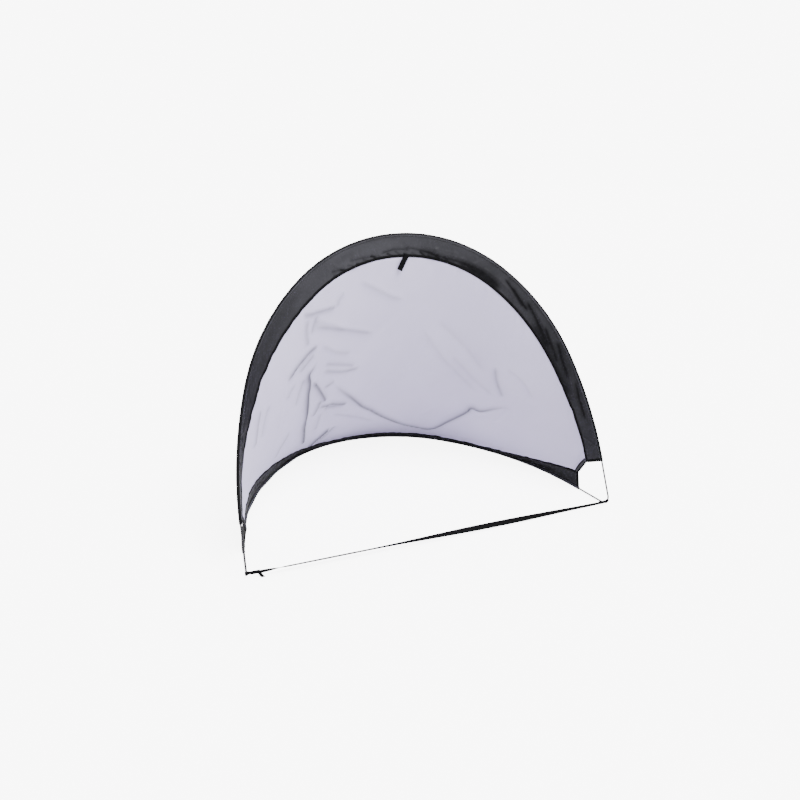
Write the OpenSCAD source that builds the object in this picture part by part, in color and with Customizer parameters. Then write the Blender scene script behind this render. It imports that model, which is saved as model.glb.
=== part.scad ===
// Children's pop-up goal: one spring-steel loop bent at two ground corners, so that one half
// stands as the mouth and the other half lies on the ground, with fabric bands and a net between.
// Millimetres, +Z up, goal mouth towards -Y. The origin is the middle of the bounding box's base.

/* [Overall size] */
// Width between the two ground corners
goal_w = 1100; // [1000:10:1200]
// Lean of the front arch back from upright, in degrees
arch_lean = 24; // [21:0.5:27]
// Diameter of the spring wire
wire_d = 5; // [4:0.5:5]
// Centreline radius of the bend at each ground corner
bend_r = 22; // [20:1:26]
// Bare wire left on each side of each corner
bare_wire = 140; // [110:5:160]

/* [Front arch outline] */
// Inward set of the front leg where it leaves the corner, in degrees
arch_in = 1; // [0:0.5:3]
// Turn of the lower side arc, in degrees
arch_turn_low = 17; // [15:0.5:19]
// Radius of the lower side arc
arch_r_low = 1170; // [1000:10:1250]
// Turn of the shoulder arc, in degrees
arch_turn_shoulder = 31; // [28:0.5:34]
// Radius of the shoulder arc
arch_r_shoulder = 615; // [560:5:640]

/* [Rear arc outline] */
// Inward set of the rear leg where it leaves the corner, in degrees
rear_in = 6; // [4:0.5:8]
// Turn of the lower side arc, in degrees
rear_turn_low = 6; // [4:0.5:8]
// Radius of the lower side arc
rear_r_low = 1200; // [1000:10:1400]
// Turn of the shoulder arc, in degrees
rear_turn_shoulder = 32; // [30:0.5:35]
// Radius of the shoulder arc
rear_r_shoulder = 865; // [780:5:900]

/* [Fabric] */
// Width of the front band, from the wire to its inner edge
front_band_w = 64; // [50:1:75]
// Width of the rear band, from the wire to its inner edge
rear_band_w = 60; // [50:1:70]
// Thickness of a band
band_t = 1.2; // [1:0.1:1.6]
// Outer diameter of the casing around the wire
casing_d = 8.4; // [8.4:0.1:9]
// Turn of the front band back towards the net at its foot, in degrees
front_band_turn_end = 78; // [65:1:82]
// Turn of the front band back towards the net at the apex, in degrees
front_band_turn_mid = 27; // [15:1:35]
// Rise of the rear band above the ground at its ends, in degrees
rear_band_rise_end = 81; // [70:1:85]
// Rise of the rear band above the ground in the middle, in degrees
rear_band_rise_mid = 34; // [28:1:42]
// Sag of the net below the straight line from band to band
net_sag = 86; // [40:2:110]
// Thickness of the net
net_t = 1; // [0.8:0.1:1.4]
// Width of the binding tape along the seams
tape_w = 9; // [7:0.5:12]
// Width of the short binding across each corner of the net
corner_tape_w = 15; // [10:1:18]

/* [Straps and loops] */
// Width of the ground strap
strap_w = 16; // [14:1:20]
// Thickness of the ground strap
strap_t = 1.2; // [1:0.1:1.5]
// Length of the tab that hangs from the top of the mouth
tab_len = 50; // [40:1:60]
// Width of that tab
tab_w = 15; // [12:1:20]
// Length of each peg loop behind the rear arc
peg_loop_len = 36; // [30:1:45]
// Distance of each peg loop from the middle of the rear arc, along the wire
peg_loop_s = 235; // [150:5:300]

/* [Hidden] */

arc_fn = 180;             // facets of a full circle on the outline arcs
rod_fn = 32;              // facets around the wire
seam_short = 0.1;         // neighbouring pieces of a rod stop this short of their seam
seam_len = 1;             // length of the ring that closes the seam
seam_lip = 0.02;          // height of that ring above the rod
gap = 0.3;                // room between neighbouring pieces
seam_gap = 0.6;           // room between the front band and the net, which move apart
casing_t = 0.7;           // fabric of the casing
tape_t = 1;               // thickness of the binding tape
hem_w = 9;                // width of the hem tape at the ends of the bands
hem_t = 0.8;
hem_off = 0.5;            // the hem stops this far from the band's outer edge
ferrule_len = 40;
ferrule_d = 6.6;
ferrule_play = 0.1;
loop_angle = 60;          // place of the strap loop around the corner bend, from the ground
loop_span = 32;           // how far the strap loop reaches around the bend, in degrees
loop_w = 12;
loop_play = 0.3;          // room between the loop and the wire
tongue_len = 30;
tongue_start = 0.7;       // from the wire to the tongue's root, inside the loop's wall
strap_lap = 12;           // from the wire to the strap's end, along the tongue
strap_turn_end = [0.02, 0.09];    // shares of the strap over which it turns flat at the left
strap_turn_long = [0.26, 0.98];   // and on its edge again towards the right
strap_flare = 0.05;       // share of the strap at each end over which it widens
tail_w = 10;
tail_in = 33;             // from the left corner to the strap's free tail
tail_drift = 9;           // how far the tail drifts to the right as it hangs
tail_back = 2;            // from the strap's front edge back to the tail's end
tail_droop = 1.3;         // how steeply the tail starts down: 1 is straight
eye_w = 14;               // outer width of a peg loop
eye_h = 10;
web_t = 1.2;              // thickness of the narrow webbing
tab_off = 18;             // from the middle of the mouth to the tab's seam
tab_turn = 27;            // sideways slant of the top tab, in degrees
tab_lap = 2;              // the tab starts this far past the seam tape's outer edge
front_turn_share = 0.7;   // share of the half arch over which the front band turns
rear_fall_right = [0.034, 0.46];   // shares of the half arc between which the rear band comes down
rear_fall_left = [0.25, 0.93];
half_stations = 30;       // rings from a band's end to the apex
net_columns = 12;         // cells of the net from the front band to the rear band

steel = "silver";
black = [0.13, 0.13, 0.14];
tape_black = [0.07, 0.07, 0.08];
net_grey = [0.80, 0.79, 0.84];

wire_r = wire_d / 2;
wire_z = casing_d / 2 + seam_lip;    // the rear arc rests on its casing
half_w = goal_w / 2;

// ---- small vector helpers ----
function unit(v) = v / norm(v);
function lerp(a, b, t) = a + (b - a) * t;
function ease(t) = let (u = min(max(t, 0), 1)) u * u * (3 - 2 * u);
function share_of(u, range) = min(max((u - range[0]) / (range[1] - range[0]), 0), 1);
function sided(p, side) = [p[0] * side, p[1], p[2]];

// ---- the two legs that leave a corner, and the bend that joins them ----
front_leg = [-sin(arch_in), cos(arch_in) * sin(arch_lean), cos(arch_in) * cos(arch_lean)];
rear_leg = [-sin(rear_in), cos(rear_in), 0];
legs_angle = acos(front_leg * rear_leg);
toe = bend_r / tan(legs_angle / 2);      // from the sharp corner to where the bend starts
leg_len = bare_wire - toe;
bend_off = bend_r / sin(legs_angle / 2);
corner = [half_w, 0, wire_z];
bend_mid = corner + unit(front_leg + rear_leg) * bend_off;
bend_a = unit(corner + rear_leg * toe - bend_mid);
bend_b0 = corner + front_leg * toe - bend_mid;
bend_b = unit(bend_b0 - bend_a * (bend_b0 * bend_a));
bend_n = cross(bend_a, bend_b);
bend_sweep = 180 - legs_angle;
bend_gap = gap / bend_r * 180 / PI;

// ---- outline of half an arch: a straight leg and three tangent arcs up to the apex ----
// An arc is [centre x, centre v, start angle, radius, turn], with v the way up the arch's plane.
function arc_from(x, v, a, r, turn) = [x - r * cos(a), v - r * sin(a), a, r, turn];
function arc_end(g) = [g[0] + g[3] * cos(g[2] + g[4]), g[1] + g[3] * sin(g[2] + g[4])];
function arc_len(g) = g[3] * g[4] * PI / 180;
function outline(a0, turns, radii) =
    let (
        g0 = arc_from(half_w - bare_wire * sin(a0), bare_wire * cos(a0), a0, radii[0], turns[0]),
        e0 = arc_end(g0),
        g1 = arc_from(e0[0], e0[1], a0 + turns[0], radii[1], turns[1]),
        e1 = arc_end(g1),
        a2 = a0 + turns[0] + turns[1],
        g2 = arc_from(e1[0], e1[1], a2, e1[0] / cos(a2), 90 - a2)
    ) [g0, g1, g2];
function outline_len(o) = arc_len(o[0]) + arc_len(o[1]) + arc_len(o[2]);
function on_arc(g, s) =
    let (a = g[2] + s / g[3] * 180 / PI) [g[0] + g[3] * cos(a), g[1] + g[3] * sin(a), a];
// [x, v, angle] at length s from the end of the bare leg
function along(o, s) =
    let (l0 = arc_len(o[0]), l1 = l0 + arc_len(o[1]))
    s <= l0 ? on_arc(o[0], s) : s <= l1 ? on_arc(o[1], s - l0) : on_arc(o[2], s - l1);

arch = outline(arch_in, [arch_turn_low, arch_turn_shoulder], [arch_r_low, arch_r_shoulder]);
rear = outline(rear_in, [rear_turn_low, rear_turn_shoulder], [rear_r_low, rear_r_shoulder]);
arch_len = outline_len(arch);
rear_len = outline_len(rear);
arch_top = arc_end(arch[2])[1];
rear_depth = arc_end(rear[2])[1];

// ---- frames along the wires, on the right half: [point, across the band, towards the inside] ----
function in_arch(x, v) = [x, v * sin(arch_lean), v * cos(arch_lean)];
arch_back = [0, cos(arch_lean), -sin(arch_lean)];
function front_turn(s) =
    lerp(front_band_turn_end, front_band_turn_mid, ease(s / (front_turn_share * arch_len)));
function front_frame(s) =
    let (
        q = along(arch, s),
        t = in_arch(-sin(q[2]), cos(q[2])),
        m = in_arch(-cos(q[2]), -sin(q[2])),
        d = m * cos(front_turn(s)) + arch_back * sin(front_turn(s))
    ) [in_arch(q[0], q[1]) + [0, 0, wire_z], d, cross(t, d), t];
// The rear band comes down sooner on the right than on the left; it stands the same at both ends
function rear_stand(u, side) = side > 0
    ? pow(1 - share_of(u, rear_fall_right), 2)
    : 1 - ease(share_of(u, rear_fall_left));
function rear_rise(s, side) =
    lerp(rear_band_rise_mid, rear_band_rise_end, rear_stand(s / rear_len, side));
function rear_frame(s, side = 1) =
    let (
        q = along(rear, s),
        g = rear_rise(s, side),
        t = [-sin(q[2]), cos(q[2]), 0],
        d = [-cos(q[2]) * cos(g), -sin(q[2]) * cos(g), sin(g)]
    ) [[q[0], q[1], wire_z], d, cross(d, t), t];

// A point at distance d across the band and h towards the inside, at station i of -n..n
function station(i, n, len) = len * (1 - abs(i) / n);
function side_of(i) = i < 0 ? 1 : -1;
function from_frame(f, d, h, side) = sided(f[0] + f[1] * d + f[2] * h, side);
function front_point(i, n, d, h) = from_frame(front_frame(station(i, n, arch_len)), d, h, side_of(i));
function rear_point(i, n, d, h) =
    from_frame(rear_frame(station(i, n, rear_len), side_of(i)), d, h, side_of(i));
// Grids of points along a whole band, at the distances across it in the list ds
function front_strip(ds, h) =
    [for (i = [-half_stations:half_stations]) [for (d = ds) front_point(i, half_stations, d, h)]];
function rear_strip(ds, h) =
    [for (i = [-half_stations:half_stations]) [for (d = ds) rear_point(i, half_stations, d, h)]];

// Closed slab between two grids of points; a is the side that its faces are seen from
module slab(a, b) {
    rows = len(a);
    cols = len(a[0]);
    count = rows * cols;
    function at(i, j) = i * cols + j;
    points = concat([for (row = a) each row], [for (row = b) each row]);
    cells = [
        for (i = [0:rows - 2]) for (j = [0:cols - 2])
            [at(i, j), at(i + 1, j), at(i + 1, j + 1), at(i, j + 1)]
    ];
    rim = concat(
        [for (j = [0:cols - 1]) at(0, j)],
        [for (i = [1:rows - 1]) at(i, cols - 1)],
        [for (j = [cols - 2:-1:0]) at(rows - 1, j)],
        [for (i = [rows - 2:-1:1]) at(i, 0)]
    );
    turns = len(rim);
    polyhedron(points, concat(
        [for (c = cells) each [[c[0], c[1], c[2]], [c[0], c[2], c[3]]]],
        [for (c = cells) let (q = c + [count, count, count, count])
            each [[q[2], q[1], q[0]], [q[3], q[2], q[0]]]],
        [for (k = [0:turns - 1]) let (p = rim[k], q = rim[(k + 1) % turns])
            each [[p, q, q + count], [p, q + count, p + count]]]
    ));
}

// ---- steel ----
module ring_section(d, bore) {
    difference() {
        circle(d = d, $fn = rod_fn);
        if (bore > 0) circle(d = bore, $fn = rod_fn);
    }
}

module rod_arc(g, d, bore = 0, short = 0) {
    cut = short / g[3] * 180 / PI;
    translate([g[0], g[1], 0])
        rotate([0, 0, g[2] + cut])
            rotate_extrude(angle = g[4] - 2 * cut, $fn = arc_fn)
                translate([g[3], 0])
                    ring_section(d, bore);
}

// The thin ring that closes the seam at q = [x, v, angle]
module seam_ring(q, d, bore) {
    translate([q[0], q[1], 0])
        rotate([-90, 0, q[2]])
            linear_extrude(seam_len, center = true)
                ring_section(d + 2 * seam_lip, bore > 0 ? bore - 2 * seam_lip : 0);
}

// The three arcs of half an outline, joined at their seams
module outline_arcs(o, d, bore = 0) {
    for (g = o) rod_arc(g, d, bore, seam_short);
    for (g = [o[0], o[1]]) seam_ring([arc_end(g)[0], arc_end(g)[1], g[2] + g[4]], d, bore);
}

// The straight leg between the corner bend and the first arc, and the seam to that arc
module outline_leg(a0, d) {
    translate([half_w - toe * sin(a0), toe * cos(a0), 0])
        rotate([-90, 0, a0])
            linear_extrude(leg_len - seam_short)
                circle(d = d, $fn = rod_fn);
    seam_ring([half_w - bare_wire * sin(a0), bare_wire * cos(a0), a0], d, 0);
}

module both_sides() {
    children();
    mirror([1, 0, 0]) children();
}

module arch_plane() {
    translate([0, 0, wire_z]) rotate([90 - arch_lean, 0, 0]) children();
}

module ground_plane() {
    translate([0, 0, wire_z]) children();
}

module front_arch_wire() {
    color(steel) translate(shift) arch_plane() {
        both_sides() {
            outline_leg(arch_in, wire_d);
            outline_arcs(arch, wire_d);
        }
        seam_ring([0, arch_top, 90], wire_d, 0);
    }
}

module rear_wire() {
    ground_plane() {
        outline_leg(rear_in, wire_d);
        outline_arcs(rear, wire_d);
    }
}

module rear_wire_right() {
    color(steel) translate(shift) rear_wire();
}

module rear_wire_left() {
    color(steel) translate(shift) mirror([1, 0, 0]) rear_wire();
}

// Places children in the plane of the right corner bend, x towards the rear leg's end of it
module bend_plane() {
    multmatrix([
        [bend_a[0], bend_b[0], bend_n[0], bend_mid[0]],
        [bend_a[1], bend_b[1], bend_n[1], bend_mid[1]],
        [bend_a[2], bend_b[2], bend_n[2], bend_mid[2]],
        [0, 0, 0, 1]
    ]) children();
}

module corner_bend() {
    bend_plane() rod_arc([0, 0, 0, bend_r, bend_sweep - bend_gap], wire_d);
}

module corner_bend_right() {
    color(steel) translate(shift) corner_bend();
}

module corner_bend_left() {
    color(steel) translate(shift) mirror([1, 0, 0]) corner_bend();
}

// Crimped tube that joins the two ends of the loop, in the middle of the rear arc
module wire_ferrule() {
    g = rear[2];
    half_turn = ferrule_len / 2 / g[3] * 180 / PI;
    color(steel) translate(shift) ground_plane()
        rod_arc([0, g[1], 90 - half_turn, g[3], 2 * half_turn], ferrule_d, wire_d + ferrule_play);
}

// ---- fabric casing around the wire ----
casing_bore = casing_d - 2 * casing_t;

module front_wire_casing() {
    color(tape_black) translate(shift) arch_plane() {
        both_sides() outline_arcs(arch, casing_d, casing_bore);
        seam_ring([0, arch_top, 90], casing_d, casing_bore);
    }
}

module rear_wire_casing() {
    color(tape_black) translate(shift) ground_plane() {
        both_sides() outline_arcs(rear, casing_d, casing_bore);
        seam_ring([0, rear_depth, 90], casing_d, casing_bore);
    }
}

// ---- bands, seam tapes and net ----
band_start = casing_d / 2 + gap;
tape_low = band_t / 2 + gap;             // the tape lies this far above the band's middle
tape_high = tape_low + tape_t;

function band_lines(w) = [band_start, w - tape_w, w];
function tape_lines(w) = [w - tape_w, w];

module front_band() {
    ds = band_lines(front_band_w);
    color(black) translate(shift) slab(front_strip(ds, band_t / 2), front_strip(ds, -band_t / 2));
}

module rear_band() {
    ds = band_lines(rear_band_w);
    color(black) translate(shift) slab(rear_strip(ds, -band_t / 2), rear_strip(ds, band_t / 2));
}

module front_seam_tape() {
    ds = tape_lines(front_band_w);
    color(tape_black) translate(shift) slab(front_strip(ds, tape_high), front_strip(ds, tape_low));
}

module rear_seam_tape() {
    ds = tape_lines(rear_band_w);
    color(tape_black) translate(shift) slab(rear_strip(ds, tape_low), rear_strip(ds, tape_high));
}

// The net is ruled from the front band's inner edge to the rear band's, and hangs below the ruling
net_down = unit(cross([1, 0, 0], front_point(0, 1, front_band_w, 0) - rear_point(0, 1, rear_band_w, 0)));
function net_ruled(i, j) = lerp(
    front_point(i, half_stations, front_band_w + seam_gap, 0),
    rear_point(i, half_stations, rear_band_w + seam_gap, 0),
    j / net_columns
);
function net_bow(i, j) =
    net_sag * (1 - pow(i / half_stations, 2)) * 4 * (j / net_columns) * (1 - j / net_columns);
function net_mid(i, j) = net_ruled(i, j) + net_down * net_bow(i, j);
function held(k, n) = min(max(k, -n), n);
function net_normal(i, j) = unit(cross(
    net_mid(held(i + 1, half_stations), j) - net_mid(held(i - 1, half_stations), j),
    net_mid(i, min(j + 1, net_columns)) - net_mid(i, max(j - 1, 0))
));
function net_skin(h) = [
    for (i = [-half_stations:half_stations])
        [for (j = [0:net_columns]) net_mid(i, j) + net_normal(i, j) * h]
];

module net_panel() {
    color(net_grey) translate(shift) slab(net_skin(-net_t / 2), net_skin(net_t / 2));
}

// ---- hems that close the ends of the bands ----
hem_inner = band_t / 2 + gap;
hem_outer = hem_inner + hem_t;

module hem_section() {
    difference() {
        translate([-hem_outer, -gap - hem_t]) square([2 * hem_outer, hem_w + gap + hem_t]);
        translate([-hem_inner, -gap]) square([2 * hem_inner, hem_w + gap + 1]);
    }
}

// f is a frame at a band's end; the section's y runs along the wire
module hem(f, width, inside) {
    x = f[2] * inside;
    multmatrix([
        [x[0], f[3][0], f[1][0], f[0][0]],
        [x[1], f[3][1], f[1][1], f[0][1]],
        [x[2], f[3][2], f[1][2], f[0][2]],
        [0, 0, 0, 1]
    ])
        translate([0, 0, band_start + hem_off])
            linear_extrude(width - tape_w - gap - band_start - hem_off)
                hem_section();
}

module front_hem() {
    hem(front_frame(0), front_band_w, 1);
}

module rear_hem() {
    hem(rear_frame(0), rear_band_w, -1);
}

module front_hem_right() {
    color(tape_black) translate(shift) front_hem();
}

module front_hem_left() {
    color(tape_black) translate(shift) mirror([1, 0, 0]) front_hem();
}

module rear_hem_right() {
    color(tape_black) translate(shift) rear_hem();
}

module rear_hem_left() {
    color(tape_black) translate(shift) mirror([1, 0, 0]) rear_hem();
}

// ---- binding over each end of the net, from the front band's end to the rear band's ----
corner_tape_low = net_t / 2 + gap;
corner_tape_high = corner_tape_low + tape_t;
corner_tape_reach = [0.07, 0.93];   // shares of the net's end that it covers
net_end = [for (k = [0, 1]) net_mid(k - half_stations, net_columns / 2)];
corner_tape_share = corner_tape_w / norm(net_end[1] - net_end[0]);
function corner_tape_skin(h) = [
    for (i = [0:4]) let (j = net_columns * lerp(corner_tape_reach[0], corner_tape_reach[1], i / 4))
        [for (k = [0, corner_tape_share])
            lerp(net_mid(-half_stations, j), net_mid(1 - half_stations, j), k)
                + net_normal(-half_stations, j) * h]
];

module corner_tape() {
    slab(corner_tape_skin(corner_tape_high), corner_tape_skin(corner_tape_low));
}

module corner_tape_right() {
    color(tape_black) translate(shift) corner_tape();
}

module corner_tape_left() {
    color(tape_black) translate(shift) mirror([1, 0, 0]) corner_tape();
}

// ---- ground strap between the corners, with its loops and free tail ----
loop_out = bend_a * cos(loop_angle) + bend_b * sin(loop_angle);
loop_mid = bend_mid + loop_out * bend_r;
strap_tilt = 180 - loop_angle;           // of the strap's width, where it is sewn to a loop
strap_off = web_t + 0.1 + strap_t / 2;   // the strap lies on the front of the loop's tongue
function tilt_dir(a) = [0, cos(a), sin(a)];

module strap_loop() {
    bend_plane()
        rotate([0, 0, loop_angle - loop_span / 2])
            rotate_extrude(angle = loop_span, $fn = arc_fn)
                translate([bend_r, 0])
                    ring_section(wire_d + 2 * (loop_play + web_t), wire_d + 2 * loop_play);
    w = tilt_dir(strap_tilt);
    n = cross([-1, 0, 0], w);
    multmatrix([
        [-1, w[0], n[0], loop_mid[0]],
        [0, w[1], n[1], loop_mid[1]],
        [0, w[2], n[2], loop_mid[2]],
        [0, 0, 0, 1]
    ])
        translate([wire_r + tongue_start, -loop_w / 2, -web_t])
            cube([tongue_len, loop_w, 2 * web_t]);
}

module strap_loop_right() {
    color(tape_black) translate(shift) strap_loop();
}

module strap_loop_left() {
    color(tape_black) translate(shift) mirror([1, 0, 0]) strap_loop();
}

// The strap makes one slow half turn: nearly flat on the left, on its edge right of the middle
strap_cells = 72;
strap_end = loop_mid + tilt_dir(strap_tilt - 90) * -strap_off + [-strap_lap, 0, 0];
strap_rest = -30;         // tilt of the strap's width along its flat stretch on the left, in degrees
function strap_angle(u) = strap_rest
    + (strap_tilt - strap_rest) * ease(share_of(u, strap_turn_long))
    + (strap_tilt - 180 - strap_rest) * (1 - ease(share_of(u, strap_turn_end)));
function strap_width(u) = lerp(loop_w, strap_w, ease(min(u, 1 - u) / strap_flare));
function strap_line(u) = [lerp(-strap_end[0], strap_end[0], u), strap_end[1], strap_end[2]];
function strap_skin(h) = [
    for (i = [0:strap_cells])
        let (u = i / strap_cells, w = tilt_dir(strap_angle(u)), n = cross([1, 0, 0], w))
            [for (k = [-1, 1]) strap_line(u) + w * k * strap_width(u) / 2 + n * h]
];

module ground_strap() {
    color(black) translate(shift) slab(strap_skin(-strap_t / 2), strap_skin(strap_t / 2));
}

// ---- the frame of the whole goal, from the strap's front edge to the back of the rear casing ----
front_y = strap_end[1] - norm([strap_w, strap_t]) / 2;
rear_y = rear_depth + casing_d / 2 + seam_lip;
shift = [0, -(front_y + rear_y) / 2, 0];

// ---- the strap's free tail, which hangs from its left end to the ground ----
tail_top = strap_end + tilt_dir(strap_tilt - 90) * -(strap_t / 2 + gap + web_t / 2);
tail_cells = 10;
function tail_line(t) = [
    -half_w + tail_in + tail_drift * t,
    lerp(tail_top[1], front_y + tail_back, t),
    web_t / 2 + (tail_top[2] - web_t / 2) * pow(1 - t, tail_droop)
];
function tail_normal(t) =
    unit(cross([1, 0, 0], tail_line(min(t + 1 / tail_cells, 1)) - tail_line(max(t - 1 / tail_cells, 0))));
function tail_skin(h) = [
    for (i = [0:tail_cells]) let (t = i / tail_cells)
        [for (k = [-1, 1]) tail_line(t) + [k * tail_w / 2, 0, 0] + tail_normal(t) * h]
];

module strap_tail() {
    color(tape_black) translate(shift) slab(tail_skin(-web_t / 2), tail_skin(web_t / 2));
}

// ---- webbing loops for the ground pegs, behind the rear arc ----
module peg_eye_outline(w, len) {
    translate([0, w / 2]) square([w, len - w], center = false);
    translate([w / 2, w / 2]) circle(d = w, $fn = rod_fn);
    translate([w / 2, len - w / 2]) circle(d = w, $fn = rod_fn);
}

module peg_loop() {
    f = rear_frame(rear_len - peg_loop_s);
    out = -unit([f[1][0], f[1][1], 0]);
    translate([f[0][0], f[0][1], 0] + out * (casing_d / 2 + gap))
        rotate([0, 0, atan2(out[1], out[0]) - 90])
            linear_extrude(eye_h)
                translate([-eye_w / 2, 0])
                    difference() {
                        peg_eye_outline(eye_w, peg_loop_len);
                        translate([web_t, web_t])
                            peg_eye_outline(eye_w - 2 * web_t, peg_loop_len - 2 * web_t);
                    }
}

module peg_loop_right() {
    color(black) translate(shift) peg_loop();
}

module peg_loop_left() {
    color(black) translate(shift) mirror([1, 0, 0]) peg_loop();
}

// ---- folded webbing tab that hangs from the top of the mouth, slanting to the left ----
tab_fold = 3 * web_t;     // two plies and the room between them

module tab_section() {
    difference() {
        union() {
            square([tab_len - tab_fold / 2, tab_fold]);
            translate([tab_len - tab_fold / 2, tab_fold / 2]) circle(d = tab_fold, $fn = rod_fn);
        }
        translate([-1, web_t]) square([tab_len - tab_fold / 2 + 1, web_t]);
        translate([tab_len - tab_fold / 2, tab_fold / 2]) circle(d = web_t, $fn = rod_fn);
    }
}

module top_tab() {
    f = front_frame(arch_len);
    down = f[1] * cos(tab_turn) + [-1, 0, 0] * sin(tab_turn);
    across = cross(down, f[2]);
    start = f[0] + f[1] * (front_band_w - tape_w + tab_lap) + f[2] * (tape_high + gap) + [tab_off, 0, 0];
    color(tape_black) translate(shift)
        multmatrix([
            [down[0], f[2][0], across[0], start[0]],
            [down[1], f[2][1], across[1], start[1]],
            [down[2], f[2][2], across[2], start[2]],
            [0, 0, 0, 1]
        ])
            translate([0, 0, -tab_w / 2])
                linear_extrude(tab_w)
                    tab_section();
}

front_arch_wire();
rear_wire_left();
rear_wire_right();
corner_bend_left();
corner_bend_right();
wire_ferrule();
front_wire_casing();
rear_wire_casing();
front_band();
rear_band();
front_seam_tape();
rear_seam_tape();
front_hem_left();
front_hem_right();
rear_hem_left();
rear_hem_right();
corner_tape_left();
corner_tape_right();
net_panel();
ground_strap();
strap_loop_left();
strap_loop_right();
strap_tail();
peg_loop_left();
peg_loop_right();
top_tab();
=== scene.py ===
import math

import bpy
import numpy as np
from mathutils import Matrix, Vector


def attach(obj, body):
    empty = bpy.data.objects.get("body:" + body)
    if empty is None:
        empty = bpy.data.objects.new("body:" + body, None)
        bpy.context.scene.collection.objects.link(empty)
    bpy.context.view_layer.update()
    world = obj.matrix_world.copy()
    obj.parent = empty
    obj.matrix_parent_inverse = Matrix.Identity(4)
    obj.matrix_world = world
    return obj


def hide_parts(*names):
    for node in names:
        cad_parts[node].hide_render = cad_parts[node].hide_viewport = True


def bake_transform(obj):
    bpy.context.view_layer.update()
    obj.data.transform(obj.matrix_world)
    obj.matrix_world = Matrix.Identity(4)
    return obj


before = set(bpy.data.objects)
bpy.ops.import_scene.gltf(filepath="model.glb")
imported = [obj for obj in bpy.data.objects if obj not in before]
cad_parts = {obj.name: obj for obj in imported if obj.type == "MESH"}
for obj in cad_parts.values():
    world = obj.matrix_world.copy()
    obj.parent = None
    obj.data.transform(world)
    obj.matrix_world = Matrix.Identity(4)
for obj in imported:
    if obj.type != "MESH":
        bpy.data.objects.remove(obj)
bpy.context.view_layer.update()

GROUND = "ground_frame"
ARCH = "front_arch"
SIDES = ((1, "right"), (-1, "left"))

# ---- the goal's own sizes, in metres and radians, as the solids have them ----
half_width = 0.55
lean = math.radians(24)
arch_inset = math.radians(1)
rear_inset = math.radians(6)
wire_r = 0.0025
wire_z = 0.00422
bend_r = 0.022
bare_wire = 0.14
front_band_w = 0.064
rear_band_w = 0.060
band_t = 0.0007
pocket_r = 0.0039
pocket_w = 0.0052
pocket_t = 0.0006
tape_w = 0.009
tape_t = 0.0007
hem_w = 0.009
hem_t = 0.0008
corner_tape_w = 0.015
net_t = 0.0006
net_sag = 0.086
net_gap = 0.0006
strap_w = 0.016
loop_w = 0.012
web_t = 0.0012
# From the ground corners' line to the frame's origin
shift_y = -0.4087605


# ---- outlines: a bare straight leg, then three tangent arcs up to the apex ----
def outline(inset, turns, radii):
    """The arcs (centre, start angle, radius, turn) after a leg that leans in by inset."""
    a = inset
    x = half_width - bare_wire * math.sin(a)
    v = bare_wire * math.cos(a)
    arcs = []
    for k in range(3):
        turn = math.radians(turns[k]) if k < 2 else math.pi / 2 - a
        r = radii[k] if k < 2 else x / math.cos(a)
        cx, cv = x - r * math.cos(a), v - r * math.sin(a)
        arcs.append((cx, cv, a, r, turn))
        a += turn
        x, v = cx + r * math.cos(a), cv + r * math.sin(a)
    return arcs


arch = outline(arch_inset, (17, 31), (1.170, 0.615))
rear = outline(rear_inset, (6, 32), (1.200, 0.865))


def length_of(arcs):
    return sum(r * turn for _, _, _, r, turn in arcs)


arch_len = length_of(arch)
rear_len = length_of(rear)


def along(arcs, s):
    """Points and outward angles at lengths s from the end of the bare leg."""
    s = np.asarray(s, float)
    x, v, a = np.zeros_like(s), np.zeros_like(s), np.zeros_like(s)
    start = 0.0
    for k, (cx, cv, a0, r, turn) in enumerate(arcs):
        here = (s >= start - 1e-9) & ((s <= start + r * turn) | (k == 2))
        ang = a0 + (s - start) / r
        x[here] = (cx + r * np.cos(ang))[here]
        v[here] = (cv + r * np.sin(ang))[here]
        a[here] = ang[here]
        start += r * turn
    return x, v, a


def ease(t):
    t = np.clip(t, 0, 1)
    return t * t * (3 - 2 * t)


def way_from(low, high, u):
    """0 where u is low and 1 where it is high."""
    return (u - low) / (high - low)


def turned(start, end, share):
    """An angle on its way between two angles in degrees, in radians."""
    return np.radians(start + (end - start) * share)


def unit(v):
    return v / np.linalg.norm(v, axis=-1, keepdims=True)


def in_arch(x, v):
    """A point or direction in the leaning arch's plane, from its places across and up that plane."""
    return np.stack([x, v * math.sin(lean), v * math.cos(lean)], -1)


def towards(a):
    """The direction at angle a above the ground, seen from the goal's side."""
    return np.array([0, math.cos(a), math.sin(a)])


def front_frames(s, side):
    """Wire centre, direction across the band, its inner side and its tangent, on the right half."""
    x, v, a = along(arch, s)
    t = in_arch(-np.sin(a), np.cos(a))
    m = in_arch(-np.cos(a), -np.sin(a))
    back = np.array([0, math.cos(lean), -math.sin(lean)])
    b = turned(78, 27, ease(s / (0.7 * arch_len)))[:, None]
    d = m * np.cos(b) + back * np.sin(b)
    return in_arch(x, v) + [0, 0, wire_z], d, np.cross(t, d), t


def rear_frames(s, side):
    """The same for the ground arc, whose band comes down sooner on the right (side 1) than on the left."""
    x, v, a = along(rear, s)
    t = np.stack([-np.sin(a), np.cos(a), 0 * a], -1)
    u = s / rear_len
    on_right = (1 - np.clip(way_from(0.034, 0.46, u), 0, 1)) ** 2
    on_left = 1 - ease(way_from(0.25, 0.93, u))
    g = turned(34, 81, np.where(side > 0, on_right, on_left))
    d = np.stack([-np.cos(a) * np.cos(g), -np.sin(a) * np.cos(g), np.sin(g)], -1)
    p = np.stack([x, v, 0 * x + wire_z], -1)
    return p, d, np.cross(d, t), t


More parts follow.
